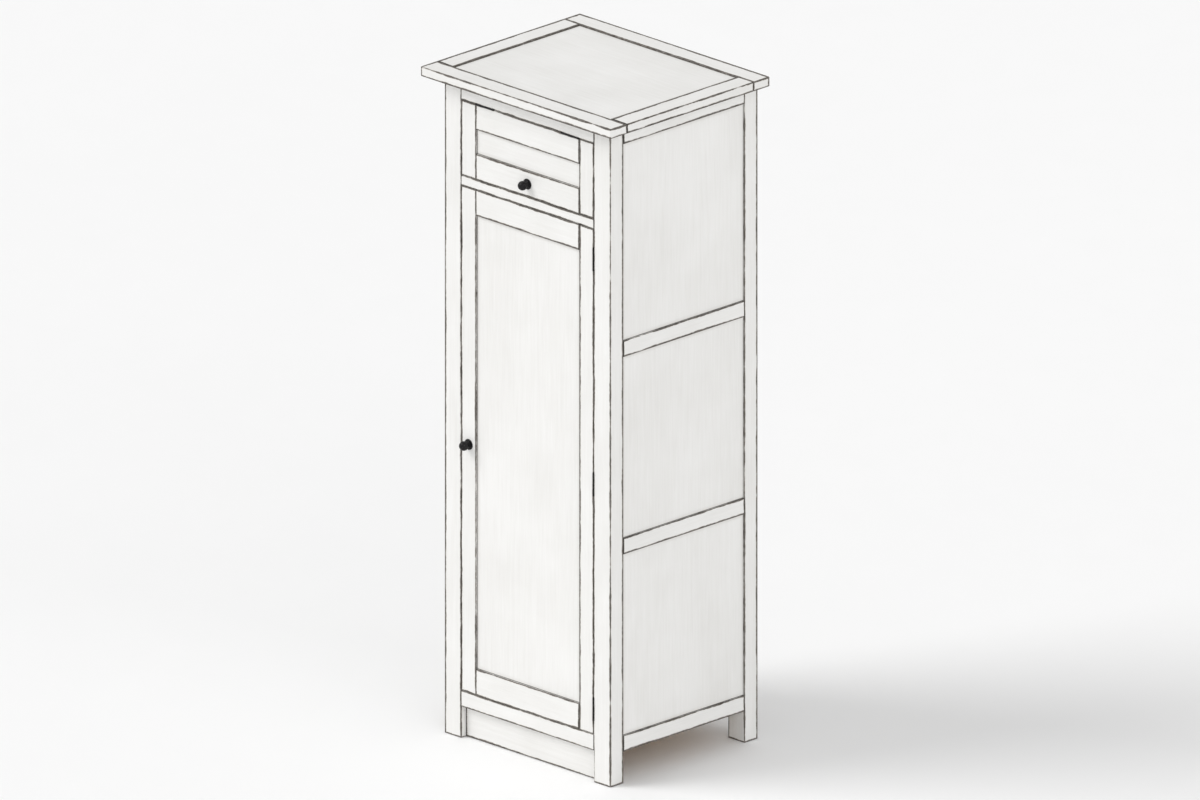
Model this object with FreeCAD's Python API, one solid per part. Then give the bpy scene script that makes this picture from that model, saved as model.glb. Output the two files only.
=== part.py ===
import FreeCAD, Part
import os
import math

V = FreeCAD.Vector
os.makedirs("parts", exist_ok=True)

# ---------------------------------------------------------------- driving dimensions (mm)
# Origin: middle of the cupboard's footprint, on the floor. +X right, +Y to the back, +Z up.
TOP_W, TOP_D, HEIGHT = 716.0, 600.0, 1880.0   # overall
TOP_T = 27.0                                  # thickness of the top boards
TOP_BOARD_W = 62.0                            # width of the boards framing the top
TOP_EASE, TOP_CORNER_R = 1.5, 4.0             # its eased arrises and its four rounded corners
XF = 312.0                                    # half width over the posts
YF, YB = -255.0, 300.0                        # front and back faces of the frame
POST_W, POST_D = 62.0, 50.0
POST_H = HEIGHT - TOP_T
XI = XF - POST_W                              # half width of the clear opening
YFI, YBI = YF + POST_D, YB - POST_D           # inner faces of the front and rear posts
RAIL_T = 25.0                                 # thickness of the rails
TENON_T, TENON_L = 10.0, 30.0
EASE = 1.2                                    # eased arrises, which make fine vees where pieces meet

Z_BOTTOM = (89.0, 134.0)                      # bottom rails
Z_LOWER = (646.0, 691.0)                      # lower side rails
Z_UPPER = (1203.0, 1248.0)                    # upper side rails
Z_TOP = (1804.0, POST_H)                      # top rails
Z_MID = (1562.0, 1589.0)                      # front rail between flap and door
PLINTH_SETBACK, PLINTH_T = 19.0, 16.0

SIDE_PANEL_T, SIDE_RECESS = 10.0, 4.0
TOP_PANEL_T, TOP_RECESS = 12.0, 4.0
GROOVE = 8.0                                  # depth of the panel grooves
PLAY = 0.5                                    # panel short of the groove's bottom
BACK_T, BACK_RECESS, BACK_COUNT = 10.0, 4.0, 5

GAP = 2.0                                     # round the door and the flap
LEAF_T = 22.0                                 # door and flap thickness
STILE = 54.0
DOOR_RAIL, FLAP_RAIL = 72.0, 71.0
DOOR_Z = (Z_BOTTOM[1] + GAP, Z_MID[0] - GAP)
FLAP_Z = (Z_MID[1] + GAP, Z_TOP[0] - GAP)
LEAF_X = XI - GAP
PANEL_T, PANEL_RECESS = 8.0, 5.0

HINGE_L, HINGE_W, HINGE_T = 66.0, 20.0, 1.5
KNUCKLE_R, PIN_R, BORE_R = 2.5, 1.25, 1.3
AXIS_OUT = 1.0                                # hinge axis in front of the face
DOOR_HINGES_Z = (206.0, 841.0, 1476.0)
FLAP_HINGES_X = (-161.0, 161.0)

SHELF_T = 18.0
SHELVES_Z = {"shelf_lower": 480.0, "shelf_middle": 844.0, "shelf_upper": 1208.0}
PEG_R, PEG_IN, PEG_OUT, PEG_PITCH = 2.5, 12.0, 9.0, 50.0
PEG_Y = (-218.0, 265.0)
FLOOR_Z = (1571.0, 1589.0)
BASE_Z = (118.0, 134.0)

KNOB_DOOR = (-221.0, 836.0)                   # X, Z of the knobs
KNOB_FLAP = (0.0, 1626.0)
CATCH_Z = (920.0, 966.0)
STRIKE = (-240.0, 943.0)

STAY_R = (-223.0, 1708.0)                     # Y, Z of the stay's pivot on the closed flap
STAY_C_Y = -166.0                             # Y of the fixed pin, at the same radius from the flap's axis
ARM_X, ARM_T, ARM_W, ARM_L = -243.5, 2.5, 14.0, 197.0
STAY_PIN_R = 3.0

N = {}      # node name -> shape
CUTS = {}   # node name -> shapes taken out of it


# ---------------------------------------------------------------- helpers
def box(x0, x1, y0, y1, z0, z1):
    x0, x1 = min(x0, x1), max(x0, x1)
    y0, y1 = min(y0, y1), max(y0, y1)
    z0, z1 = min(z0, z1), max(z0, z1)
    return Part.makeBox(x1 - x0, y1 - y0, z1 - z0, V(x0, y0, z0))


def along(shape, axis):
    out = []
    for e in shape.Edges:
        d = e.Vertexes[-1].Point - e.Vertexes[0].Point
        if abs((d.x, d.y, d.z)[axis]) > 0.999 * d.Length:
            out.append(e)
    return out


def board(x0, x1, y0, y1, z0, z1, axis=None, ease=EASE, ends=False):
    """A board with its long arrises eased, and those of its ends too if asked."""
    s = box(x0, x1, y0, y1, z0, z1)
    size = [abs(x1 - x0), abs(y1 - y0), abs(z1 - z0)]
    if axis is None:
        axis = size.index(max(size))
    return s.makeChamfer(ease, s.Edges if ends else along(s, axis))


def fuse(first, *others):
    return first.fuse(list(others)).removeSplitter()


def take(node, *shapes):
    CUTS.setdefault(node, []).extend(shapes)


def rod(r, p, q):
    d = q - p
    return Part.makeCylinder(r, d.Length, p, d)


def lathe(profile, p, d):
    """A turned piece: profile is (radius, height) from axis to axis, or (radius, height, mid radius, mid height) for an arc."""
    edges, last = [], V(profile[0][0], 0, profile[0][1])
    for point in profile[1:]:
        here = V(point[0], 0, point[1])
        if len(point) == 4:
            edges.append(Part.Arc(last, V(point[2], 0, point[3]), here).toShape())
        else:
            edges.append(Part.makeLine(last, here))
        last = here
    edges.append(Part.makeLine(last, V(profile[0][0], 0, profile[0][1])))
    s = Part.Face(Part.Wire(edges)).revolve(V(0, 0, 0), V(0, 0, 1), 360)
    s.Placement = FreeCAD.Placement(p, FreeCAD.Rotation(V(0, 0, 1), d))
    return s


def screw(p, d, length, r=1.5, head=2.9, rise=1.3, slot=0.7):
    """A slotted countersunk screw, its head level with p, going in along d."""
    s = lathe([(0, 0), (head, 0), (r, rise), (r, length - 3 * r), (0.3, length), (0, length)], p, d)
    cut = Part.makeBox(3 * head, slot, 0.6, V(-1.5 * head, -slot / 2, 0))
    cut.Placement = FreeCAD.Placement(p, FreeCAD.Rotation(V(0, 0, 1), d))
    return s.cut(cut)


def screw_hole(p, d, length, r=1.5, head=2.9, rise=1.3, c=0.05):
    return lathe([(0, -1), (head + c, -1), (head + c, 0), (r + c, rise), (r + c, length + 0.5), (0, length + 0.5)], p, d)


def side(sx, a, b):
    return (a, b) if sx > 0 else (-b, -a)


SIDES = ((-1, "left"), (1, "right"))

# ---------------------------------------------------------------- posts
for sx, s_name in SIDES:
    x0, x1 = side(sx, XI, XF)
    for f_name, y0, y1 in (("front", YF, YFI), ("rear", YBI, YB)):
        post = box(x0, x1, y0, y1, 0, POST_H)
        foot = [e for e in post.Edges if max(v.Z for v in e.Vertexes) < 1e-6]
        N[f_name + "_" + s_name + "_post"] = post.makeChamfer(EASE, along(post, 2) + foot)

# ---------------------------------------------------------------- front rails and plinth
FT0 = YF + 7.0  # tenons stand this far behind the face
for name, (z0, z1), (t0, t1) in (
    ("front_top_rail", Z_TOP, (1810.0, 1847.0)),
    ("front_mid_rail", Z_MID, (1565.0, 1586.0)),
    ("front_bottom_rail", Z_BOTTOM, (95.0, 128.0)),
):
    depth = 34.0 if name == "front_mid_rail" else RAIL_T
    pieces = []
    if name == "front_mid_rail":  # the strip that the closed flap meets
        pieces.append(box(-XI, XI, YF + 22.5, YF + 34.0, z1 - 2, z1 + 10.0))
    for sx, s_name in SIDES:
        x0, x1 = side(sx, XI, XI + TENON_L)
        pieces.append(box(x0, x1, FT0, FT0 + TENON_T, t0, t1))
        x0, x1 = side(sx, XI - 1, XI + TENON_L + 1)
        take("front_" + s_name + "_post", box(x0, x1, FT0, FT0 + TENON_T, t0, t1))
    N[name] = fuse(board(-XI, XI, YF, YF + depth, z0, z1, ends=True), *pieces)

PY0 = YF + PLINTH_SETBACK
plinth = [box(*side(sx, XI, XI + 8), PY0 + 3, PY0 + 13, 6, 84) for sx, _ in SIDES]
N["plinth_board"] = fuse(board(-XI, XI, PY0, PY0 + PLINTH_T, 1.0, Z_BOTTOM[0], axis=0), *plinth)
for sx, s_name in SIDES:
    take("front_" + s_name + "_post", box(*side(sx, XI - 1, XI + 8.5), PY0 + 3, PY0 + 13, 6, 84))

# ---------------------------------------------------------------- sides: rails and panels
PX1 = XF - SIDE_RECESS
PX0 = PX1 - SIDE_PANEL_T
BAYS = {"lower": (Z_BOTTOM[1], Z_LOWER[0]), "middle": (Z_LOWER[1], Z_UPPER[0]), "upper": (Z_UPPER[1], Z_TOP[0])}
RAILS = {"bottom": Z_BOTTOM, "lower": Z_LOWER, "upper": Z_UPPER, "top": Z_TOP}
for sx, s_name in SIDES:
    rx = side(sx, XF - RAIL_T, XF)
    tx = side(sx, XF - 18.0, XF - 8.0)
    gx = side(sx, PX0, PX1)
    for r_name, (z0, z1) in RAILS.items():
        node = s_name + "_" + r_name + "_rail"
        t0, t1 = z0 + 9.0, (z1 - 5.0 if r_name == "top" else z1 - 9.0)
        N[node] = fuse(
            board(*rx, YFI, YBI, z0, z1, ends=True),
            box(*tx, YFI - TENON_L, YFI, t0, t1),
            box(*tx, YBI, YBI + TENON_L, t0, t1),
        )
        take("front_" + s_name + "_post", box(*tx, YFI - TENON_L - 1, YFI + 1, t0, t1))
        take("rear_" + s_name + "_post", box(*tx, YBI - 1, YBI + TENON_L + 1, t0, t1))
        if r_name != "top":
            take(node, box(*gx, YFI - 1, YBI + 1, z1 - GROOVE, z1 + 1))
        if r_name != "bottom":
            take(node, box(*gx, YFI - 1, YBI + 1, z0 - 1, z0 + GROOVE))
    for b_name, (z0, z1) in BAYS.items():
        tongue = GROOVE - PLAY
        N[s_name + "_" + b_name + "_panel"] = box(*gx, YFI - tongue, YBI + tongue, z0 - tongue, z1 + tongue)
        take("front_" + s_name + "_post", box(*gx, YFI - GROOVE, YFI + 2, z0 - GROOVE, z1 + GROOVE))
        take("rear_" + s_name + "_post", box(*gx, YBI - 2, YBI + GROOVE, z0 - GROOVE, z1 + GROOVE))

# ---------------------------------------------------------------- back: rails and tongued boards
RY0 = YB - RAIL_T
BY1 = YB - BACK_RECESS
BY0 = BY1 - BACK_T
for name, (z0, z1), (t0, t1) in (("rear_top_rail", Z_TOP, (1813.0, 1848.0)), ("rear_bottom_rail", Z_BOTTOM, (95.0, 125.0))):
    pieces = []
    for sx, s_name in SIDES:
        pieces.append(box(*side(sx, XI, XI + TENON_L), RY0 + 7, RY0 + 17, t0, t1))
        take("rear_" + s_name + "_post", box(*side(sx, XI - 1, XI + TENON_L + 1), RY0 + 7, RY0 + 17, t0, t1))
    N[name] = fuse(board(-XI, XI, RY0, YB, z0, z1, ends=True), *pieces)
take("rear_bottom_rail", box(-XI - 1, XI + 1, BY0, BY1, Z_BOTTOM[1] - GROOVE, Z_BOTTOM[1] + 1))
take("rear_top_rail", box(-XI - 1, XI + 1, BY0, BY1, Z_TOP[0] - 1, Z_TOP[0] + GROOVE))
for sx, s_name in SIDES:
    take("rear_" + s_name + "_post", box(*side(sx, XI - 2, XI + GROOVE), BY0, BY1, Z_BOTTOM[1] - GROOVE, Z_TOP[0] + GROOVE))
boards = []
bw = 2 * XI / BACK_COUNT
bz0, bz1 = Z_BOTTOM[1] - GROOVE + PLAY, Z_TOP[0] + GROOVE - PLAY
for i in range(BACK_COUNT):
    x0, x1 = -XI + i * bw, -XI + (i + 1) * bw
    left = x0 - (GROOVE - PLAY) if i == 0 else x0 + 0.2
    right = x1 + (GROOVE - PLAY) if i == BACK_COUNT - 1 else x1 - 0.2
    b = box(left, right, BY0, BY1, bz0, bz1)
    vees = [e for e in along(b, 2) if (i > 0 and abs(e.Vertexes[0].X - left) < 1e-6) or (i < BACK_COUNT - 1 and abs(e.Vertexes[0].X - right) < 1e-6)]
    b = b.makeChamfer(2.0, vees)
    if i < BACK_COUNT - 1:
        b = fuse(b, box(right - 0.5, x1 + 5.5, BY0 + 3.5, BY0 + 6.5, bz0, bz1))
    if i > 0:
        b = b.cut(box(x0 - 1, x0 + 6.2, BY0 + 3.3, BY0 + 6.7, bz0 - 1, bz1 + 1))
    boards.append(b)
N["back_boards"] = boards

# ---------------------------------------------------------------- framed top
TX, TY = TOP_W / 2, TOP_D / 2
TIX, TIY = TX - TOP_BOARD_W, TY - TOP_BOARD_W
TZ1 = HEIGHT - TOP_RECESS
TZ0 = TZ1 - TOP_PANEL_T
for name, sy in (("top_front_board", -1), ("top_rear_board", 1)):
    y0, y1 = side(sy, TIY, TY)
    s = box(-TX, TX, y0, y1, POST_H, HEIGHT)
    s = s.makeFillet(TOP_CORNER_R, [e for e in along(s, 2) if abs(e.Vertexes[0].Y - sy * TY) < 1e-6])
    inner = [e for e in along(s, 2) if abs(e.Vertexes[0].Y - sy * TIY) < 1e-6]
    rims = [e for e in s.Edges if abs(e.Vertexes[0].Z - e.Vertexes[-1].Z) < 1e-6]
    N[name] = s.makeChamfer(TOP_EASE, inner + rims)
    take(name, box(-TX + 12, TX - 12, *side(sy, TIY - 1, TIY + 10), TZ0, TZ1))
for sx, s_name in SIDES:
    node = "top_" + s_name + "_board"
    tenons = [box(*side(sx, TIX + 8.5, TX - 13), *side(sy, TIY, TIY + 9.5), TZ0, TZ1) for sy in (-1, 1)]
    N[node] = fuse(board(*side(sx, TIX, TX), -TIY, TIY, POST_H, HEIGHT, ease=TOP_EASE, ends=True), *tenons)
    take(node, box(*side(sx, TIX - 1, TIX + GROOVE), -TIY - 1, TIY + 1, TZ0, TZ1))
N["top_panel"] = box(-TIX - 7.5, TIX + 7.5, -TIY - 7.5, TIY + 7.5, TZ0, TZ1)

# ---------------------------------------------------------------- inside: floors, shelves, cleats, pegs
def notched(half, y0, y1, z0, z1, front, rear, neck, ease):
    """A board that fills the cupboard between the sides and is notched round the posts."""
    s = board(-half, half, y0, y1, z0, z1, axis=0, ease=ease)
    corners = []
    for sx in (-1, 1):
        corners.append(box(*side(sx, neck, half + 1), y0 - 1, front, z0 - 1, z1 + 1))
        corners.append(box(*side(sx, neck, half + 1), rear, y1 + 1, z0 - 1, z1 + 1))
    return s.cut(corners)


N["base_board"] = notched(XF - RAIL_T - 0.5, YF + RAIL_T, RY0 - 0.5, *BASE_Z, YFI + 0.5, YBI - 0.5, XI - 0.5, 0.5)
N["compartment_floor"] = notched(PX0 - 2, YF + 34.0, BY0 - 1, *FLOOR_Z, YFI + 0.5, YBI - 0.5, XI - 0.5, 0.5)
for name, z in SHELVES_Z.items():
    N[name] = notched(XF - RAIL_T - 2, YF + 27, BY0 - 2, z, z + SHELF_T, YFI + 2, YBI - 2, XI - 1.5, 2.0)
cleats = []
for sx, s_name in SIDES:
    cleats.append(board(*side(sx, PX0 - 22, PX0), YFI, YBI, FLOOR_Z[0] - 20, FLOOR_Z[0], axis=1))
    cleats.append(board(*side(sx, XF - RAIL_T - 20, XF - RAIL_T), YFI, YBI, BASE_Z[0] - 20, BASE_Z[0], axis=1))
N["shelf_cleats"] = cleats

pegs = []
for sx, s_name in SIDES:
    for f_name, y in zip(("front", "rear"), PEG_Y):
        for z in SHELVES_Z.values():
            zc = z - PEG_R
            for step in (-1, 0, 1):
                p = V(sx * (XI - 1), y, zc + step * PEG_PITCH)
                take(f_name + "_" + s_name + "_post", rod(PEG_R + 0.05, p, p + V(sx * (PEG_IN + 2), 0, 0)))
            p = V(sx * (XI + PEG_IN), y, zc)
            L = PEG_IN + PEG_OUT
            pegs.append(lathe(
                [(0, 0), (PEG_R - 0.5, 0), (PEG_R, 0.5), (PEG_R, PEG_IN), (PEG_R + 1, PEG_IN), (PEG_R + 1, PEG_IN + 1.2),
                 (PEG_R, PEG_IN + 1.2), (PEG_R, L - 0.6), (PEG_R - 0.6, L), (0, L)], p, V(-sx, 0, 0)))
N["shelf_pegs"] = pegs

# ---------------------------------------------------------------- door and flap frames
def leaf(prefix, left_name, right_name, z0, z1, rail):
    py0 = YF + PANEL_RECESS
    py1 = py0 + PANEL_T
    xi = LEAF_X - STILE
    for sx, name in ((-1, left_name), (1, right_name)):
        N[name] = board(*side(sx, xi, LEAF_X), YF, YF + LEAF_T, z0, z1, ends=True)
        take(name, box(*side(sx, xi - 1, xi + GROOVE), py0, py1, z0 + rail - GROOVE, z1 - rail + GROOVE))
    for name, r0, r1, t0, t1 in (
        (prefix + "_top_rail", z1 - rail, z1, z1 - rail + 9, z1 - 10),
        (prefix + "_bottom_rail", z0, z0 + rail, z0 + 10, z0 + rail - 9),
    ):
        tenons = []
        for sx, stile in ((-1, left_name), (1, right_name)):
            tenons.append(box(*side(sx, xi, xi + TENON_L), py0, py1, t0, t1))
            take(stile, box(*side(sx, xi - 1, xi + TENON_L + 1), py0, py1, t0, t1))
        N[name] = fuse(board(-xi, xi, YF, YF + LEAF_T, r0, r1, ends=True), *tenons)
        g = (r0 - 1, r0 + GROOVE) if name.endswith("top_rail") else (r1 - GROOVE, r1 + 1)
        take(name, box(-xi - 1, xi + 1, py0, py1, *g))
    t = GROOVE - PLAY
    N[prefix + "_panel"] = box(-xi - t, xi + t, py0, py1, z0 + rail - t, z1 - rail + t)


leaf("door", "door_lock_stile", "door_hinge_stile", *DOOR_Z, DOOR_RAIL)
leaf("flap", "flap_left_stile", "flap_right_stile", *FLAP_Z, FLAP_RAIL)

# ---------------------------------------------------------------- butt hinges
# Local frame of a hinge: x from the moving edge to the fixed one, y into the cupboard, z along the pin.
def hinge():
    h, mid = HINGE_L / 2, HINGE_L / 6
    a, b = 1.1, 1.1 + HINGE_T
    ax = V(0, 0, 1)
    fixed = box(a, b, 0, HINGE_W, -h, h).cut(Part.makeCylinder(KNUCKLE_R + 0.4, 2 * mid + 0.3, V(0, 0, -mid - 0.15), ax))
    moving = box(-b, -a, 0, HINGE_W, -h, h).cut([
        Part.makeCylinder(KNUCKLE_R + 0.4, h - mid + 1.15, V(0, 0, mid - 0.15), ax),
        Part.makeCylinder(KNUCKLE_R + 0.4, h - mid + 1.15, V(0, 0, -h - 1), ax)])
    bore = Part.makeCylinder(BORE_R, 4 * h, V(0, 0, -2 * h), ax)
    fixed = fuse(fixed, Part.makeCylinder(KNUCKLE_R, h - mid - 0.15, V(0, 0, mid + 0.15), ax),
                 Part.makeCylinder(KNUCKLE_R, h - mid - 0.15, V(0, 0, -h), ax)).cut(bore)
    moving = fuse(moving, Part.makeCylinder(KNUCKLE_R, 2 * mid - 0.3, V(0, 0, -mid + 0.15), ax)).cut(bore)
    pin = lathe([(0, -h), (PIN_R - 0.4, -h), (PIN_R, -h + 0.4), (PIN_R, h - 0.4), (PIN_R - 0.4, h), (0, h)], V(0, 0, 0), ax)
    spots = [V(a, 11.0, z) for z in (-22.0, 0.0, 22.0)]
    fixed = fixed.cut([screw_hole(p, V(1, 0, 0), 16) for p in spots])
    moving = moving.cut([screw_hole(V(-p.x, p.y, p.z), V(-1, 0, 0), 16) for p in spots])
    f_screws = [screw(p, V(1, 0, 0), 16) for p in spots]
    m_screws = [screw(V(-p.x, p.y, p.z), V(-1, 0, 0), 16) for p in spots]
    round_cut = Part.makeCylinder(KNUCKLE_R + 0.3, 2 * h + 0.4, V(0, 0, -h - 0.2), ax)
    f_wood = [box(0.5, b, -4, HINGE_W + 0.2, -h - 0.2, h + 0.2), round_cut] + [screw_hole(p, V(1, 0, 0), 16) for p in spots]
    m_wood = [box(-b, -0.5, -4, HINGE_W + 0.2, -h - 0.2, h + 0.2), round_cut] + [screw_hole(V(-p.x, p.y, p.z), V(-1, 0, 0), 16) for p in spots]
    return fixed, moving, pin, f_screws, m_screws, f_wood, m_wood


def placed(shape, place):
    s = shape.copy()
    s.Placement = place.multiply(s.Placement)
    return s


fixed_leaves, hinge_pins, carcass_screws = [], [], []
door_leaves, flap_leaves, door_screws, flap_screws = [], [], [], []
Y_AXIS = YF - AXIS_OUT
upright = [FreeCAD.Placement(V(LEAF_X + GAP / 2, Y_AXIS, z), FreeCAD.Rotation()) for z in DOOR_HINGES_Z]
turn = FreeCAD.Rotation(V(0, 0, 1), V(0, 1, 0), V(-1, 0, 0), "XYZ")
level = [FreeCAD.Placement(V(x, Y_AXIS, FLAP_Z[1] + GAP / 2), turn) for x in FLAP_HINGES_X]
for places, leaves, screws_m, fixed_in, moving_in in (
    (upright, door_leaves, door_screws, ["front_right_post"], ["door_hinge_stile"]),
    (level, flap_leaves, flap_screws, ["front_top_rail"], ["flap_top_rail", "flap_left_stile", "flap_right_stile"]),
):
    for place in places:
        fixed, moving, pin, f_screws, m_screws, f_wood, m_wood = hinge()
        fixed_leaves.append(placed(fixed, place))
        leaves.append(placed(moving, place))
        hinge_pins.append(placed(pin, place))
        carcass_screws += [placed(s, place) for s in f_screws]
        screws_m += [placed(s, place) for s in m_screws]
        for node in fixed_in:
            take(node, *[placed(s, place) for s in f_wood])
        for node in moving_in:
            take(node, *[placed(s, place) for s in m_wood])
N["hinge_frame_leaves"] = fixed_leaves
N["hinge_pins"] = hinge_pins
N["door_hinge_leaves"] = door_leaves
N["flap_hinge_leaves"] = flap_leaves

# ---------------------------------------------------------------- knobs, each held by a bolt from behind
BALL_R, BALL_C, ROSE_R = 13.0, 18.5, 15.0
NECK_R = 5.5
neck_h = BALL_C - math.sqrt(BALL_R ** 2 - NECK_R ** 2)
for node, screws, wood, (x, z) in (
    ("door_knob", door_screws, "door_lock_stile", KNOB_DOOR),
    ("flap_knob", flap_screws, "flap_bottom_rail", KNOB_FLAP),
):
    out = V(0, -1, 0)
    knob = lathe([(0, 0), (ROSE_R, 0), (ROSE_R, 1.2), (ROSE_R - 2.0, 2.4, ROSE_R - 0.5, 2.1), (9.5, 2.6), (8.5, 3.6), (7.0, 3.8),
                  (NECK_R, neck_h, NECK_R + 0.3, 5.3), (0, BALL_C + BALL_R, BALL_R, BALL_C)], V(x, YF, z), out)
    N[node] = knob.cut(rod(2.05, V(x, YF + 1, z), V(x, YF - 11.0, z)))
    back = YF + LEAF_T
    bolt = lathe([(0, -2.4), (2.2, -2.4), (3.9, -1.0), (3.9, 0), (2.0, 0), (2.0, LEAF_T + 9.6), (1.6, LEAF_T + 10), (0, LEAF_T + 10)], V(x, back, z), out)
    slot = box(x - 5, x + 5, back + 1.5, back + 3, z - 0.45, z + 0.45)
    screws.append(bolt.cut(slot))
    take(wood, rod(2.2, V(x, back + 1, z), V(x, YF - 1, z)))

# ---------------------------------------------------------------- magnetic catch and its strike
cx0, cx1 = -XI, -XI + 18.0
cy0, cy1 = YF + LEAF_T + 0.3, YFI - 8.0
housing = board(cx0, cx1, cy0, cy1, *CATCH_Z, axis=2, ease=1.2)
pocket = box(STRIKE[0] - 5, STRIKE[0] + 5, cy0 - 1, cy0 + 13, STRIKE[1] - 11, STRIKE[1] + 11)
magnet = [
    box(STRIKE[0] - 5, STRIKE[0] - 3.5, cy0, cy0 + 13, STRIKE[1] - 11, STRIKE[1] + 11),
    box(STRIKE[0] - 3.5, STRIKE[0] + 3.5, cy0 + 0.6, cy0 + 13, STRIKE[1] - 11, STRIKE[1] + 11),
    box(STRIKE[0] + 3.5, STRIKE[0] + 5, cy0, cy0 + 13, STRIKE[1] - 11, STRIKE[1] + 11),
]
housing = housing.cut(pocket)
for z in (CATCH_Z[0] + 5.5, CATCH_Z[1] - 5.5):
    p = V(cx1, (cy0 + cy1) / 2, z)
    housing = housing.cut(screw_hole(p, V(-1, 0, 0), 30))
    take("front_left_post", screw_hole(p, V(-1, 0, 0), 30))
    carcass_screws.append(screw(p, V(-1, 0, 0), 30))
N["door_catch"] = [housing] + magnet
p = V(STRIKE[0], YF + LEAF_T, STRIKE[1])
door_screws.append(screw(p, V(0, -1, 0), 16, head=5.0, rise=3.0, slot=1.0))
take("door_lock_stile", screw_hole(p, V(0, -1, 0), 16, head=5.0, rise=3.0))

# ---------------------------------------------------------------- flap stay
# The arm turns on the flap and its slot runs over a fixed pin. Both pins are at one radius from the
# flap's axis, so the arm turns by exactly half the flap's angle.
AY, AZ = Y_AXIS, FLAP_Z[1] + GAP / 2
radius = math.hypot(STAY_R[0] - AY, STAY_R[1] - AZ)
STAY_C = (STAY_C_Y, AZ - math.sqrt(radius ** 2 - (STAY_C_Y - AY) ** 2))
dy, dz = STAY_C[0] - STAY_R[0], STAY_C[1] - STAY_R[1]
chord_shut = math.hypot(dy, dz)
half_shut = math.asin(chord_shut / (2 * radius))
chord_open = 2 * radius * math.sin(half_shut + math.radians(45))
tilt = math.degrees(math.atan2(dz, dy))
SLOT_R = STAY_PIN_R + 0.15
slot0, slot1 = chord_shut - 0.6, chord_open + 0.6


def capsule(r, u0, u1, x0, x1):
    s = fuse(box(x0, x1, u0, u1, -r, r), rod(r, V(x0, u0, 0), V(x1, u0, 0)), rod(r, V(x0, u1, 0), V(x1, u1, 0)))
    return s


arm = capsule(ARM_W / 2, 0, ARM_L - ARM_W / 2, ARM_X, ARM_X + ARM_T)
arm = arm.cut([capsule(SLOT_R, slot0, slot1, ARM_X - 1, ARM_X + ARM_T + 1), rod(STAY_PIN_R + 0.15, V(ARM_X - 1, 0, 0), V(ARM_X + ARM_T + 1, 0, 0))])
arm.Placement = FreeCAD.Placement(V(0, STAY_R[0], STAY_R[1]), FreeCAD.Rotation(V(1, 0, 0), tilt))
N["stay_arm"] = arm

# bracket on the flap: a plate on the stile's back and an ear that carries the pivot
ex0, ex1 = -240.5, -238.0
back = YF + LEAF_T
ry, rz = STAY_R
ear = fuse(box(ex0, ex1, back, ry, rz - 9, rz + 9), rod(9, V(ex0, ry, rz), V(ex1, ry, rz)))
pivot = fuse(rod(STAY_PIN_R, V(ex1, ry, rz), V(ARM_X - 0.4, ry, rz)), rod(5.0, V(ARM_X - 0.3, ry, rz), V(ARM_X - 2.0, ry, rz)))
N["stay_flap_bracket"] = fuse(ear, board(ex0, -210.0, back, back + 2.0, rz - 16, rz + 16, axis=2, ease=0.4), pivot)
for z in (rz - 9.5, rz + 9.5):
    p = V(-222.0, back + 2.0, z)
    take("stay_flap_bracket", screw_hole(p, V(0, -1, 0), 15))
    take("flap_left_stile", screw_hole(p, V(0, -1, 0), 15))
    flap_screws.append(screw(p, V(0, -1, 0), 15))

# bracket on the post: an angle on the post's rear face with the fixed pin and its nut
py, pz = STAY_C
flange = board(-287.0 + 2, -252.0, YFI, YFI + 2.0, pz - 18, pz + 18, axis=2, ease=0.4)
web = fuse(box(-254.0, -252.0, YFI, py, pz - 12, pz + 12), rod(12, V(-254.0, py, pz), V(-252.0, py, pz)))
pin = fuse(rod(STAY_PIN_R, V(-253.0, py, pz), V(-236.5, py, pz)), rod(6.0, V(-252.5, py, pz), V(ARM_X - 0.4, py, pz)),
           rod(6.5, V(ARM_X + ARM_T + 0.4, py, pz), V(-237.6, py, pz)))
N["stay_wall_bracket"] = fuse(flange, web, pin)
for z in (pz - 10, pz + 10):
    p = V(-270.0, YFI + 2.0, z)
    take("stay_wall_bracket", screw_hole(p, V(0, -1, 0), 18))
    take("front_left_post", screw_hole(p, V(0, -1, 0), 18))
    carcass_screws.append(screw(p, V(0, -1, 0), 18))

# ---------------------------------------------------------------- screws that hold the top, in deep counterbores
for node, board_node, y, xs in (
    ("front_top_rail", "top_front_board", YF + 11.5, (-225.0, -60.0, 60.0, 225.0)),
    ("rear_top_rail", "top_rear_board", RY0 + 5.5, (-200.0, -60.0, 60.0, 200.0)),
):
    for x in xs:
        p = V(x, y, Z_TOP[0] + 25.0)
        up = V(0, 0, 1)
        length = POST_H + 9.5 - p.z
        carcass_screws.append(screw(p, up, length, r=2.0, head=3.8, rise=2.2))
        take(node, screw_hole(p, up, length, r=2.0, head=3.8, rise=2.2), rod(4.2, V(x, y, Z_TOP[0] - 1), V(x, y, p.z)))
        take(board_node, screw_hole(p, up, length, r=2.0, head=3.8, rise=2.2))

N["carcass_screws"] = carcass_screws
N["door_screws"] = door_screws
N["flap_screws"] = flap_screws

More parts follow.
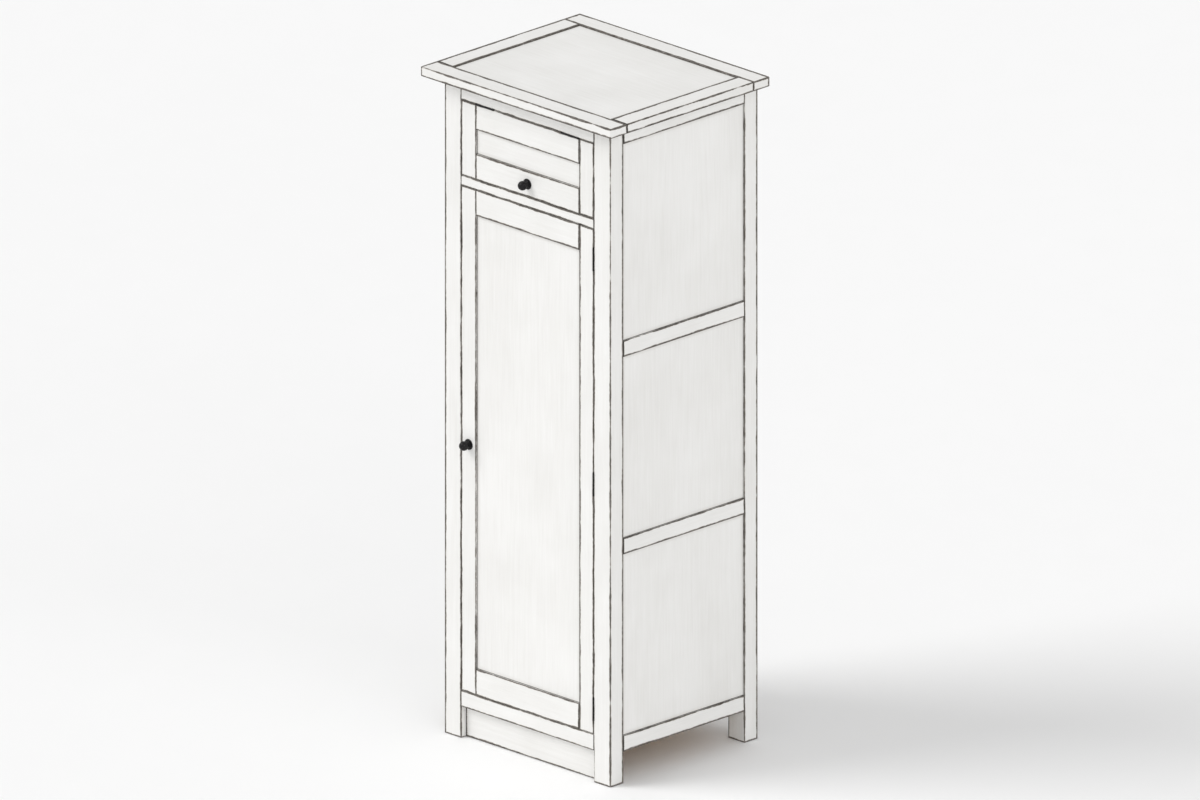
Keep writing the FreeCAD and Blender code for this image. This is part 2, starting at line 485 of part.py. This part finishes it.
# ---------------------------------------------------------------- write the nodes
for name in sorted(N):
    shapes = N[name] if isinstance(N[name], list) else [N[name]]
    if name in CUTS:
        shapes = [s.cut(CUTS[name]) for s in shapes]
    solids = []
    for s in shapes:
        solids += s.Solids
    whole = Part.makeCompound(solids) if len(solids) > 1 else solids[0]
    whole.exportStep("parts/" + name + ".step")
    b = whole.BoundBox
    print("%-22s solids %2d want %2d valid %s vol %10.0f  X %7.1f %7.1f  Y %7.1f %7.1f  Z %7.1f %7.1f" % (
        name, len(solids), len(shapes), all(s.isValid() for s in solids), whole.Volume, b.XMin, b.XMax, b.YMin, b.YMax, b.ZMin, b.ZMax))
print(len(N), "nodes; stay pin at Y %.3f Z %.3f, chords %.2f %.2f" % (STAY_C[0], STAY_C[1], chord_shut, chord_open))
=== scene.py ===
import math
import bpy
from mathutils import Matrix, Vector

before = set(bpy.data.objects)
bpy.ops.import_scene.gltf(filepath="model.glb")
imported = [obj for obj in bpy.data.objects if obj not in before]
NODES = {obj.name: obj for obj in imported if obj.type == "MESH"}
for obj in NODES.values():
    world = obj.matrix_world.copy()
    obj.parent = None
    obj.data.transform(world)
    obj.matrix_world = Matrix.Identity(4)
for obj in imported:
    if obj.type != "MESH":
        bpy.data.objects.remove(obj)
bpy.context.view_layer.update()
X, Y, Z = 0, 1, 2


# ------------------------------------------------------------------------------------------------
# Material building
# ------------------------------------------------------------------------------------------------
class Look:
    """One procedural material. Coordinates are the piece's own, in metres, so a pattern moves with its piece."""

    def __init__(self, name):
        self.material = bpy.data.materials.new(name)
        self.material.use_nodes = True
        self.tree = self.material.node_tree
        self.tree.nodes.clear()
        self.shader = self.add("ShaderNodeBsdfPrincipled")
        out = self.add("ShaderNodeOutputMaterial")
        self.tree.links.new(self.shader.outputs[0], out.inputs["Surface"])
        self.place = self.add("ShaderNodeTexCoord").outputs["Object"]
        split = self.add("ShaderNodeSeparateXYZ")
        self.put(self.place, split.inputs[0])
        self.xyz = [split.outputs[i] for i in range(3)]

    def add(self, kind, **settings):
        node = self.tree.nodes.new(kind)
        for key, value in settings.items():
            setattr(node, key, value)
        return node

    def put(self, value, socket):
        if isinstance(value, bpy.types.NodeSocket):
            self.tree.links.new(value, socket)
        else:
            socket.default_value = value

    def set(self, **values):
        for key, value in values.items():
            self.put(value, self.shader.inputs[key.replace("_", " ")])

    def math(self, operation, a, b=0.0, clamp=False):
        node = self.add("ShaderNodeMath", operation=operation, use_clamp=clamp)
        self.put(a, node.inputs[0])
        self.put(b, node.inputs[1])
        return node.outputs[0]

    def moved(self, scale, shift):
        node = self.add("ShaderNodeMapping")
        self.put(self.place, node.inputs["Vector"])
        node.inputs["Scale"].default_value = scale
        node.inputs["Location"].default_value = shift
        return node.outputs[0]

    def noise(self, vector, scale, detail=2.0, roughness=0.5, distortion=0.0):
        node = self.add("ShaderNodeTexNoise")
        self.put(vector, node.inputs["Vector"])
        node.inputs["Scale"].default_value = scale
        node.inputs["Detail"].default_value = detail
        node.inputs["Roughness"].default_value = roughness
        node.inputs["Distortion"].default_value = distortion
        return node.outputs["Fac"]

    def fit(self, value, a, b, lo=0.0, hi=1.0, soft=False):
        node = self.add("ShaderNodeMapRange")
        node.interpolation_type = "SMOOTHSTEP" if soft else "LINEAR"
        for socket, v in zip(node.inputs, (value, a, b, lo, hi)):
            self.put(v, socket)
        return node.outputs[0]

    def mix(self, factor, a, b):
        node = self.add("ShaderNodeMix", data_type="RGBA")
        self.put(factor, node.inputs[0])
        for socket, colour in ((node.inputs[6], a), (node.inputs[7], b)):
            self.put(colour if isinstance(colour, bpy.types.NodeSocket) else (*colour, 1.0), socket)
        return node.outputs[2]

    def bump(self, height, distance, strength=1.0, normal=None):
        node = self.add("ShaderNodeBump")
        self.put(height, node.inputs["Height"])
        node.inputs["Distance"].default_value = distance
        node.inputs["Strength"].default_value = strength
        if normal is not None:
            self.put(normal, node.inputs["Normal"])
        return node.outputs[0]

    def inside(self, axis, lo, hi):
        """How far a point is inside the two faces of a box along one axis."""
        away = self.math("ABSOLUTE", self.math("SUBTRACT", self.xyz[axis], (lo + hi) / 2))
        return self.math("SUBTRACT", (hi - lo) / 2, away)

    def arris(self, lo, hi):
        """Distance of a surface point from the nearest arris of a board: the middle one of its three distances."""
        a, b, c = (self.inside(i, lo[i], hi[i]) for i in range(3))
        return self.math("MAXIMUM", self.math("MINIMUM", a, b), self.math("MINIMUM", self.math("MAXIMUM", a, b), c))


def shifts(seed):
    """A fixed place in the noise for each piece, so that no two boards look the same."""
    return tuple((seed * k) % 7.0 - 3.5 for k in (2.399, 4.127, 1.618))


def stretch(axis, along, across=1.0):
    scale = [across] * 3
    scale[axis] = along
    return tuple(scale)


def dress(node, look):
    mesh = NODES[node].data
    for i in range(len(mesh.materials)):
        mesh.materials[i] = look.material


# ------------------------------------------------------------------------------------------------
# White brushed paint on wood
# ------------------------------------------------------------------------------------------------
WHITE, SHADE = (0.838, 0.833, 0.818), (0.768, 0.760, 0.738)
RUBBED = (0.022, 0.018, 0.015), (0.078, 0.058, 0.042)
# the grime colour is dust mixed with painted shade for panel rims; the seam colour is the near-black of dark joints,
# and it also paints the shadow in panel gaps and vee grooves
PRIMER, GRIME_AND_SHADE, SEAM_AND_SHADOW = (0.60, 0.56, 0.49), (0.60, 0.575, 0.53), (0.024, 0.022, 0.020)


def paint(name, axis, seed, lo, hi, seams=(), panel=None, ease=0.0012, rub=0.0012, round_y=None, knocked=(), vees=()):
    """Satin paint laid on along a board's length. lo and hi are the board's visible box; seams are (axis, place) of the
    joints that show as a fine dark line at its ends; panel is the pair of axes whose rim lies in a frame, where dirt
    settles and shade is painted in, darkening the rim; round_y is the straight long edge of a board whose opposite
    corners are rounded; knocked are arrises rubbed further than the rest on one of their faces, each as the (axis,
    place) of the edge across that face, the (axis, place) of the face and how much further; vees are the (axis, place)
    of vee joints along a boarded face, which are darkened with dirt and painted shade."""
    k = Look("painted_" + name)
    at = shifts(seed)
    streaks = k.noise(k.moved(stretch(axis, 0.014), at), 780.0, 3.0, 0.62)
    grain = k.noise(k.moved(stretch(axis, 0.05), at), 120.0, 4.0, 0.6, 0.35)
    cloud = k.noise(k.moved((1, 1, 1), at), 5.5, 2.0, 0.5)
    peel = k.noise(k.place, 620.0, 1.0, 0.4)
    rough = k.fit(k.math("ADD", k.math("MULTIPLY", streaks, 0.6), k.math("MULTIPLY", cloud, 0.4)), 0.3, 0.7, 0.32, 0.52)

    tone = k.math("ADD", k.math("MULTIPLY", cloud, 0.4), k.math("ADD", k.math("MULTIPLY", grain, 0.38), k.math("MULTIPLY", streaks, 0.22)))
    colour = k.mix(k.fit(tone, 0.36, 0.62), SHADE, WHITE)
    normal = k.bump(peel, 0.00006, 0.5)
    normal = k.bump(grain, 0.0009, 0.4, normal)
    normal = k.bump(streaks, 0.00022, 0.6, normal)

    if panel:
        arris = k.math("MINIMUM", *(k.inside(i, lo[i], hi[i]) for i in panel))
        # painted shade with dust: the panel darkens within 14 mm of its rim, in the frame's recess where shade falls
        rim_dust_and_shade = k.math("MULTIPLY", k.fit(arris, 0.0, 0.014, 0.5, 0.0, True), k.fit(cloud, 0.35, 0.65, 0.4, 1.0))
        colour = k.mix(rim_dust_and_shade, colour, GRIME_AND_SHADE)
        # a dark joint line at the panel's rim where it enters the frame, with the gap's shadow painted in
        colour = k.mix(k.fit(arris, 0.0015, 0.0022, 0.92, 0.0), colour, SEAM_AND_SHADOW)
    else:
        if round_y is None:
            arris = k.arris(lo, hi)
        else:
            a, b, c = (k.inside(i, lo[i], hi[i]) for i in range(3))
            straight = k.math("ABSOLUTE", k.math("SUBTRACT", k.xyz[Y], round_y))
            arris = k.math("MINIMUM", k.math("MAXIMUM", c, k.math("MINIMUM", a, b)), k.math("MAXIMUM", a, straight))
        patch = k.noise(k.moved((1, 1, 1), at), 11.0, 5.0, 0.66)
        fleck = k.noise(k.moved(stretch(axis, 0.16), at), 420.0, 4.0, 0.68)
        reach = k.math("ADD", k.fit(patch, 0.34, 0.66, ease - 0.1 * rub, ease + 2.1 * rub), k.fit(fleck, 0.3, 0.7, -0.0005, 0.0005))
        depth = k.math("SUBTRACT", reach, arris)
        for (i, edge), (j, face), further in knocked:
            across = k.math("ABSOLUTE", k.math("SUBTRACT", k.xyz[i], edge))
            below = k.math("MULTIPLY", k.math("ABSOLUTE", k.math("SUBTRACT", k.xyz[j], face)), 2.2)
            depth = k.math("MAXIMUM", depth, k.math("SUBTRACT", k.math("ADD", reach, further), k.math("MAXIMUM", across, below)))
        thin = k.math("MULTIPLY", k.fit(depth, -0.0026, 0.0001, 0.0, 0.6, True), k.fit(fleck, 0.35, 0.6, 0.3, 1.0))
        worn = k.math("MULTIPLY", k.fit(depth, -0.0007, 0.0009, 0.0, 0.95, True), k.fit(fleck, 0.30, 0.55, 0.72, 1.0))
        wood = k.mix(k.fit(k.noise(k.moved(stretch(axis, 0.04), at), 500.0, 3.0, 0.6), 0.35, 0.65), *RUBBED)
        colour = k.mix(worn, k.mix(thin, colour, PRIMER), wood)
        rough = k.math("ADD", rough, k.math("MULTIPLY", worn, 0.45))
        normal = k.bump(k.math("SUBTRACT", 1.0, worn), 0.00015, 0.5, normal)
    # vee grooves between boards are darkened with the seam colour: dust and painted shade in the groove
    for vee_axis, place in vees:
        deep = k.math("ABSOLUTE", k.math("SUBTRACT", k.xyz[vee_axis], place))
        colour = k.mix(k.fit(deep, 0.0004, 0.0019, 0.85, 0.0, True), colour, SEAM_AND_SHADOW)
    for seam_axis, place in seams:
        gap = k.math("ABSOLUTE", k.math("SUBTRACT", k.xyz[seam_axis], place))
        line = k.math("MULTIPLY", k.fit(gap, ease + 0.0004, ease + 0.0010, 1.0, 0.0), k.fit(arris, ease + 0.0006, ease + 0.0012, 1.0, 0.0))
        colour = k.mix(line, colour, SEAM_AND_SHADOW)
    k.set(Base_Color=colour, Roughness=rough, Normal=normal, IOR=1.48)
    return k


PAINTED = {
    # node: (grain axis, lo, hi, seams, panel)
    "front_top_rail": (X, (-0.250, -0.255, 1.804), (0.250, -0.230, 1.853), ((X, -0.250), (X, 0.250)), None),
    "front_mid_rail": (X, (-0.250, -0.255, 1.562), (0.250, -0.221, 1.589), ((X, -0.250), (X, 0.250)), None),
    "front_bottom_rail": (X, (-0.250, -0.255, 0.089), (0.250, -0.230, 0.134), ((X, -0.250), (X, 0.250)), None),
    "plinth_board": (X, (-0.250, -0.236, 0.001), (0.250, -0.220, 0.089), ((X, -0.250), (X, 0.250)), None),
    "rear_top_rail": (X, (-0.250, 0.275, 1.804), (0.250, 0.300, 1.853), ((X, -0.250), (X, 0.250)), None),
    "rear_bottom_rail": (X, (-0.250, 0.275, 0.089), (0.250, 0.300, 0.134), ((X, -0.250), (X, 0.250)), None),
    "back_boards": (Z, (-0.250, 0.286, 0.134), (0.250, 0.296, 1.804), (), (X, Z)),
    "top_front_board": (X, (-0.358, -0.300, 1.853), (0.358, -0.238, 1.880), (), None),
    "top_rear_board": (X, (-0.358, 0.238, 1.853), (0.358, 0.300, 1.880), (), None),
    "top_left_board": (Y, (-0.358, -0.238, 1.853), (-0.296, 0.238, 1.880), ((Y, -0.238), (Y, 0.238)), None),
    "top_right_board": (Y, (0.296, -0.238, 1.853), (0.358, 0.238, 1.880), ((Y, -0.238), (Y, 0.238)), None),
    "top_panel": (X, (-0.296, -0.238, 1.864), (0.296, 0.238, 1.876), (), (X, Y)),
    "door_lock_stile": (Z, (-0.248, -0.255, 0.136), (-0.194, -0.233, 1.560), (), None),
    "door_hinge_stile": (Z, (0.194, -0.255, 0.136), (0.248, -0.233, 1.560), (), None),
    "door_top_rail": (X, (-0.194, -0.255, 1.488), (0.194, -0.233, 1.560), ((X, -0.194), (X, 0.194)), None),
    "door_bottom_rail": (X, (-0.194, -0.255, 0.136), (0.194, -0.233, 0.208), ((X, -0.194), (X, 0.194)), None),
    "door_panel": (Z, (-0.194, -0.250, 0.208), (0.194, -0.242, 1.488), (), (X, Z)),
    "flap_left_stile": (Z, (-0.248, -0.255, 1.591), (-0.194, -0.233, 1.802), (), None),
    "flap_right_stile": (Z, (0.194, -0.255, 1.591), (0.248, -0.233, 1.802), (), None),
    "flap_top_rail": (X, (-0.194, -0.255, 1.731), (0.194, -0.233, 1.802), ((X, -0.194), (X, 0.194)), None),
    "flap_bottom_rail": (X, (-0.194, -0.255, 1.591), (0.194, -0.233, 1.662), ((X, -0.194), (X, 0.194)), None),
    "flap_panel": (X, (-0.194, -0.250, 1.662), (0.194, -0.242, 1.731), (), (X, Z)),
}
RAILS = {"bottom": (0.089, 0.134), "lower": (0.646, 0.691), "upper": (1.203, 1.248), "top": (1.804, 1.853)}
BAYS = {"lower": (0.134, 0.646), "middle": (0.691, 1.203), "upper": (1.248, 1.804)}
for side, sx in (("left", -1), ("right", 1)):
    a, b = sorted((sx * 0.287, sx * 0.312))
    for rail, (z0, z1) in RAILS.items():
        PAINTED[f"{side}_{rail}_rail"] = (Y, (a, -0.205, z0), (b, 0.250, z1), ((Y, -0.205), (Y, 0.250)), None)
    a, b = sorted((sx * 0.298, sx * 0.308))
    for bay, (z0, z1) in BAYS.items():
        PAINTED[f"{side}_{bay}_panel"] = (Z, (a, -0.205, z0), (b, 0.250, z1), (), (Y, Z))
    a, b = sorted((sx * 0.250, sx * 0.312))
    for end, y0, y1 in (("front", -0.255, -0.205), ("rear", 0.250, 0.300)):
        PAINTED[f"{end}_{side}_post"] = (Z, (a, y0, 0.0), (b, y1, 1.853), (), None)

ROUND_Y = {"top_front_board": -0.238, "top_rear_board": 0.238}
VEES = {"back_boards": ((X, -0.15), (X, -0.05), (X, 0.05), (X, 0.15))}
SOME, MORE, MOST = 0.0018, 0.0034, 0.0058
KNOCKED = {
    "top_front_board": (((Y, -0.238), (Z, 1.880), MOST), ((Z, 1.853), (Y, -0.300), SOME), ((X, -0.358), (Z, 1.880), MOST), ((X, -0.358), (Y, -0.300), MORE)),
    "top_rear_board": (((Y, 0.300), (Z, 1.880), MOST), ((Y, 0.238), (Z, 1.880), SOME), ((Z, 1.880), (Y, 0.238), SOME), ((X, -0.358), (Z, 1.880), MOST),
                       ((Y, 0.300), (X, 0.358), MORE)),
    "top_left_board": (((X, -0.358), (Z, 1.880), MOST), ((X, -0.296), (Z, 1.880), SOME), ((Z, 1.880), (X, -0.296), SOME)),
    "top_right_board": (((X, 0.296), (Z, 1.880), MOST), ((Z, 1.853), (X, 0.358), SOME)),
    "front_bottom_rail": (((Z, 0.089), (Y, -0.255), SOME),),
    "plinth_board": (((Z, 0.001), (Y, -0.236), SOME), ((X, -0.250), (Y, -0.236), SOME), ((X, 0.250), (Y, -0.236), SOME)),
    "door_top_rail": (((Z, 1.488), (Y, -0.255), SOME),),
    "flap_top_rail": (((Z, 1.731), (Y, -0.255), SOME),),
    "door_hinge_stile": (((X, 0.194), (Y, -0.255), MORE),),
    "flap_right_stile": (((X, 0.194), (Y, -0.255), MORE),),
    "front_left_post": (((X, -0.312), (Y, -0.255), MORE), ((Y, -0.205), (X, -0.312), SOME)),
    "front_right_post": (((Y, -0.205), (X, 0.312), MORE),),
    "rear_left_post": (((Y, 0.300), (X, -0.312), SOME), ((Y, 0.250), (X, -0.312), SOME)),
    "rear_right_post": (((Y, 0.300), (X, 0.312), MORE), ((X, 0.250), (Y, 0.250), SOME)),
}
for side, x in (("left", -0.312), ("right", 0.312)):
    for rail, (z0, z1) in RAILS.items():
        KNOCKED[f"{side}_{rail}_rail"] = (((Z, z0), (X, x), SOME),)
    for end, y0, y1 in (("front", -0.255, -0.205), ("rear", 0.250, 0.300)):
        KNOCKED[f"{end}_{side}_post"] += tuple(((Z, 0.0), face, SOME) for face in ((X, x), (Y, y0), (Y, y1)))
for i, (node, (axis, lo, hi, seams, panel)) in enumerate(sorted(PAINTED.items())):
    wear = (0.0015, 0.0018) if node.startswith("top_") else (0.0012, 0.0015)
    dress(node, paint(node, axis, i + 1, lo, hi, seams, panel, *wear, ROUND_Y.get(node), KNOCKED.get(node, ()), VEES.get(node, ())))


# ------------------------------------------------------------------------------------------------
# Lacquered wood of the shelves and floors
# ------------------------------------------------------------------------------------------------
PALE, MID, DARK = (0.60, 0.415, 0.235), (0.415, 0.250, 0.120), (0.235, 0.130, 0.060)


def lacquered(name, axis, across, seed, lo, hi, stave=0.088):
    """Boards glued up from staves, each with its own tone and its own run of growth rings, under a clear lacquer."""
    k = Look("lacquered_" + name)
    at = shifts(seed + 40)
    number = k.math("FLOOR", k.math("DIVIDE", k.math("ADD", k.xyz[across], 2.0 + 0.013 * seed), stave))
    own = k.add("ShaderNodeTexWhiteNoise", noise_dimensions="1D")
    k.put(number, own.inputs["W"])
    jump = k.add("ShaderNodeVectorMath", operation="MULTIPLY_ADD")
    k.put(own.outputs["Color"], jump.inputs[0])
    jump.inputs[1].default_value = (3.7, 2.9, 0.35)
    k.put(k.moved(stretch(axis, 0.16), at), jump.inputs[2])
    warp = k.noise(jump.outputs[0], 7.0, 2.0, 0.45)
    rings = k.add("ShaderNodeTexWave", wave_type="RINGS", rings_direction="XYZ"[axis], wave_profile="SAW")
    bent = k.add("ShaderNodeVectorMath", operation="ADD")
    k.put(jump.outputs[0], bent.inputs[0])
    lift = k.add("ShaderNodeCombineXYZ")
    for i in range(3):
        if i != axis:
            k.put(k.math("MULTIPLY", warp, 0.12), lift.inputs[i])
    k.put(lift.outputs[0], bent.inputs[1])
    k.put(bent.outputs[0], rings.inputs["Vector"])
    rings.inputs["Scale"].default_value = 34.0
    rings.inputs["Distortion"].default_value = 0.8
    rings.inputs["Detail"].default_value = 2.0
    rings.inputs["Detail Scale"].default_value = 3.0
    fibre = k.noise(k.moved(stretch(axis, 0.02), at), 900.0, 3.0, 0.6)
    pores = k.noise(k.moved(stretch(axis, 0.035), at), 1500.0, 1.0, 0.5)
    band = k.fit(rings.outputs["Fac"], 0.25, 1.0, 0.0, 1.0, True)
    colour = k.mix(k.math("MULTIPLY", band, k.fit(fibre, 0.3, 0.7, 0.45, 0.9)), PALE, MID)
    colour = k.mix(k.fit(own.outputs["Value"], 0.0, 1.0, 0.0, 0.5), colour, MID)
    colour = k.mix(k.math("MULTIPLY", k.fit(pores, 0.60, 0.74), k.fit(band, 0.0, 1.0, 0.25, 0.7)), colour, DARK)
    phase = k.math("FRACT", k.math("DIVIDE", k.math("ADD", k.xyz[across], 2.0 + 0.013 * seed), stave))
    glue = k.fit(k.math("ABSOLUTE", k.math("SUBTRACT", phase, 0.5)), 0.495, 0.4985, 0.0, 0.6)
    colour = k.mix(glue, colour, DARK)
    arris = k.arris(lo, hi)
    colour = k.mix(k.fit(arris, 0.0, 0.003, 0.3, 0.0), colour, DARK)
    normal = k.bump(fibre, 0.00012, 0.5)
    normal = k.bump(k.fit(pores, 0.60, 0.74, 1.0, 0.0), 0.00012, 0.5, normal)
    k.set(Base_Color=colour, Roughness=k.fit(k.math("ADD", fibre, k.math("MULTIPLY", band, 0.4)), 0.3, 1.1, 0.30, 0.48), Normal=normal, IOR=1.5)
    return k


SHELF = ((-0.285, -0.228), (0.285, 0.284))
for i, (node, z0, z1) in enumerate((("shelf_lower", 0.480, 0.498), ("shelf_middle", 0.844, 0.862), ("shelf_upper", 1.208, 1.226),
                                    ("compartment_floor", 1.571, 1.589), ("base_board", 0.118, 0.134))):
    dress(node, lacquered(node, X, Y, i + 1, (*SHELF[0], z0), (*SHELF[1], z1)))
dress("shelf_cleats", lacquered("shelf_cleats", Y, Z, 9, (-0.298, -0.205, 0.098), (0.298, 0.250, 1.571), 0.4))


# ------------------------------------------------------------------------------------------------
# Metals and the catch
# ------------------------------------------------------------------------------------------------
def iron(name, seed):
    """Black waxed cast iron, a little rubbed."""
    k = Look("iron_" + name)
    at = shifts(seed + 70)
    cast = k.noise(k.moved((1, 1, 1), at), 900.0, 4.0, 0.65)
    rub = k.noise(k.moved((1, 1, 1), at), 160.0, 3.0, 0.6)
    colour = k.mix(k.fit(cast, 0.3, 0.7), (0.007, 0.007, 0.008), (0.020, 0.019, 0.019))
    colour = k.mix(k.fit(rub, 0.58, 0.74, 0.0, 0.55, True), colour, (0.075, 0.069, 0.062))
    normal = k.bump(cast, 0.00022, 0.6)
    normal = k.bump(rub, 0.0005, 0.25, normal)
    k.set(Base_Color=colour, Roughness=k.fit(k.math("ADD", cast, rub), 0.7, 1.3, 0.52, 0.33), Normal=normal, Metallic=0.55, Specular_IOR_Level=0.3)
    return k


def metal(name, seed, axis, dull, bright, rough):
    """Plated or turned metal with fine marks along one axis and some tarnish."""
    k = Look("metal_" + name)
    at = shifts(seed + 90)
    lines = k.noise(k.moved(stretch(axis, 0.02), at), 2600.0, 2.0, 0.6)
    stain = k.noise(k.moved((1, 1, 1), at), 75.0, 4.0, 0.6)
    colour = k.mix(k.fit(k.math("ADD", k.math("MULTIPLY", lines, 0.4), k.math("MULTIPLY", stain, 0.6)), 0.36, 0.62), dull, bright)
    k.set(Base_Color=colour, Roughness=k.fit(k.math("ADD", lines, stain), 0.7, 1.3, rough + 0.16, rough), Normal=k.bump(lines, 0.00006, 0.5), Metallic=1.0)
    return k


def plastic(name, seed):
    """Moulded off-white plastic with a spark-eroded skin."""
    k = Look("moulded_" + name)
    at = shifts(seed + 120)
    skin = k.noise(k.moved((1, 1, 1), at), 2400.0, 2.0, 0.6)
    haze = k.noise(k.moved((1, 1, 1), at), 60.0, 3.0, 0.6)
    colour = k.mix(k.fit(haze, 0.35, 0.65), (0.70, 0.69, 0.65), (0.76, 0.755, 0.72))
    block = k.math("MINIMUM", k.inside(X, -0.2450, -0.2350), k.math("MINIMUM", k.inside(Y, -0.2330, -0.2196), k.inside(Z, 0.9320, 0.9540)))
    magnet = k.fit(block, -0.00002, 0.00002)
    plates = k.fit(k.math("ABSOLUTE", k.math("SUBTRACT", k.xyz[X], -0.2400)), 0.0034, 0.0036)
    colour = k.mix(magnet, colour, k.mix(plates, k.mix(haze, (0.035, 0.035, 0.037), (0.06, 0.06, 0.06)), k.mix(haze, (0.36, 0.36, 0.37), (0.5, 0.5, 0.5))))
    k.set(Base_Color=colour, Roughness=k.fit(skin, 0.3, 0.7, 0.46, 0.6), Normal=k.bump(skin, 0.0001, 0.5), IOR=1.46)
    return k


for i, node in enumerate(("door_knob", "flap_knob", "hinge_frame_leaves", "door_hinge_leaves", "flap_hinge_leaves", "hinge_pins")):
    dress(node, iron(node, i))
ZINC = ((0.40, 0.41, 0.42), (0.66, 0.665, 0.67))
for i, (node, axis) in enumerate((("carcass_screws", Z), ("door_screws", Z), ("flap_screws", X), ("stay_arm", Z), ("stay_flap_bracket", Z), ("stay_wall_bracket", Y))):
    dress(node, metal(node, i, axis, *ZINC, 0.28))
dress("shelf_pegs", metal("shelf_pegs", 8, Z, (0.42, 0.27, 0.09), (0.74, 0.53, 0.23), 0.22))
dress("door_catch", plastic("door_catch", 1))


# ------------------------------------------------------------------------------------------------
# Floor, light and camera
# ------------------------------------------------------------------------------------------------
RADIUS, RINGS = 90.0, 96
floor_mesh = bpy.data.meshes.new("studio_floor")
floor_mesh.from_pydata([(RADIUS * math.cos(2 * math.pi * i / RINGS), RADIUS * math.sin(2 * math.pi * i / RINGS), 0.0) for i in range(RINGS)], [], [list(range(RINGS))])
floor = bpy.data.objects.new("studio_floor", floor_mesh)
bpy.context.scene.collection.objects.link(floor)
k = Look("studio_floor")
k.set(Base_Color=k.mix(k.noise(k.place, 0.9, 2.0), (0.905, 0.905, 0.905), (0.92, 0.92, 0.92)), Roughness=k.fit(k.noise(k.place, 9.0, 3.0), 0.3, 0.7, 0.7, 0.85))
floor_mesh.materials.append(k.material)

world = bpy.data.worlds.new("studio")
bpy.context.scene.world = world
world.use_nodes = True
background = world.node_tree.nodes["Background"]
background.inputs["Color"].default_value = (1.0, 1.0, 1.0, 1.0)
background.inputs["Strength"].default_value = 0.64


def lamp(name, kind, energy, place, aim, **settings):
    data = bpy.data.lights.new(name, kind)
    data.energy = energy
    for key, value in settings.items():
        setattr(data, key, value)
    obj = bpy.data.objects.new(name, data)
    bpy.context.scene.collection.objects.link(obj)
    obj.location = place
    obj.rotation_mode = "QUATERNION"
    obj.rotation_quaternion = (Vector(aim) - Vector(place)).to_track_quat("-Z", "Y")


lamp("key", "SUN", 1.5, (-2.6, -3.0, 4.4), (0, 0, 0.9), angle=math.radians(32))
lamp("fill", "SUN", 0.75, (4.0, -1.2, 2.6), (0, 0, 0.9), angle=math.radians(60))

camera = bpy.data.objects.new("camera", bpy.data.cameras.new("camera"))
bpy.context.scene.collection.objects.link(camera)
RIGHT = Vector((1, 1, 0)).normalized()
BACK = Vector((2, -2, 1)).normalized()
UP = BACK.cross(RIGHT)
camera.matrix_world = Matrix.Translation(0.0128 * RIGHT + 0.8982 * UP + 6.0 * BACK) @ Matrix((RIGHT, UP, BACK)).transposed().to_4x4()
camera.data.type = "ORTHO"
camera.data.ortho_scale = 3.1937
camera.data.clip_end = 200.0
bpy.context.scene.camera = camera
bpy.context.scene.view_settings.view_transform = "Standard"
